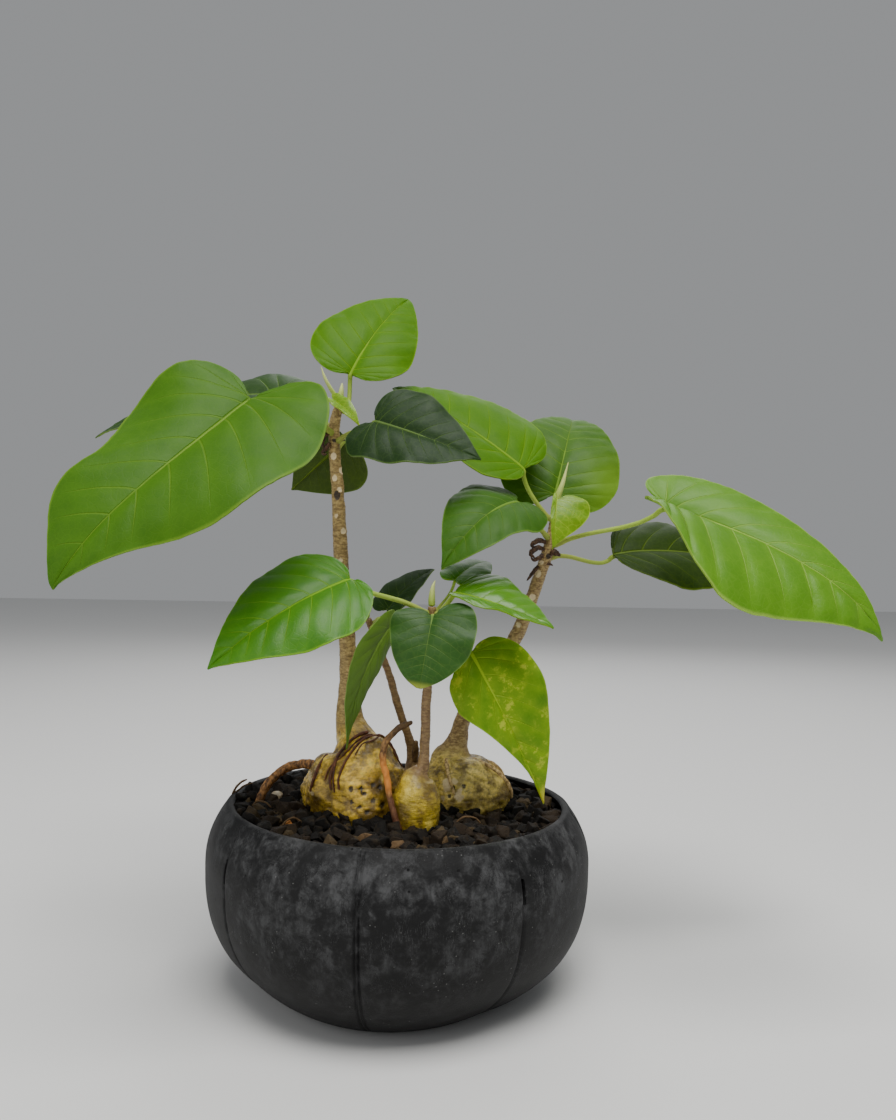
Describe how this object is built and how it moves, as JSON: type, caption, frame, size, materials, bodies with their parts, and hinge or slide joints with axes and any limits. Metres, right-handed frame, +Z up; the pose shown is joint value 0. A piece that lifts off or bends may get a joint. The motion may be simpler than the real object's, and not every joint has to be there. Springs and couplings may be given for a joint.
{
  "type": "potted caudex plant",
  "caption": "Potted rock fig: young plants with swollen woody bases, leaning stems and heart-shaped leaves, in a black lobed plastic pot filled with dark grit.",
  "frame": {"origin": "middle of the flat foot of the pot, on the table", "axes": "+Z up. The side that is seen first looks along -Y, and the long leaf on the right reaches out along +X."},
  "size_m": [0.3134, 0.1544, 0.2792],
  "materials": {
    "pot": "black, matt and a little scuffed",
    "soil": "dark, rough and dry grit",
    "stone": "pale rough stone",
    "bark": "golden brown living bark with scars, wrinkles and dark pits",
    "leaf_bright": "glossy yellow-green leaf with pale veins",
    "leaf_green": "half-gloss mid-green leaf with pale veins",
    "leaf_dark": "half-gloss dark green leaf with pale veins",
    "leaf_mottled": "green leaf with yellow mottling",
    "bud": "yellow-green bud with a red-brown base"
  },
  "bodies": {
    "root": {"pot": "pot", "soil": "soil", "pale_stone": "stone", "trunk_left": "bark", "trunk_centre": "bark", "trunk_right": "bark", "trunk_back": "bark", "leaf_left_front": "leaf_green", "leaf_left_behind": "leaf_dark", "leaf_left_top": "leaf_bright", "leaf_left_young": "leaf_bright", "leaf_left_right": "leaf_dark", "leaf_left_back": "leaf_dark", "leaf_right_left": "leaf_bright", "leaf_right_upright": "leaf_dark", "leaf_right_low_left": "leaf_green", "leaf_right_young": "leaf_bright", "leaf_right_front": "leaf_green", "leaf_right_under": "leaf_dark", "leaf_centre_left": "leaf_green", "leaf_centre_front": "leaf_dark", "leaf_centre_right": "leaf_bright", "leaf_centre_back": "leaf_dark", "leaf_centre_low": "leaf_mottled", "leaf_back_up": "leaf_dark", "leaf_back_down": "leaf_dark", "bud_left": "bud", "bud_right": "bud", "bud_centre": "bud", "bud_back": "bud"}
  },
  "joints": []
}
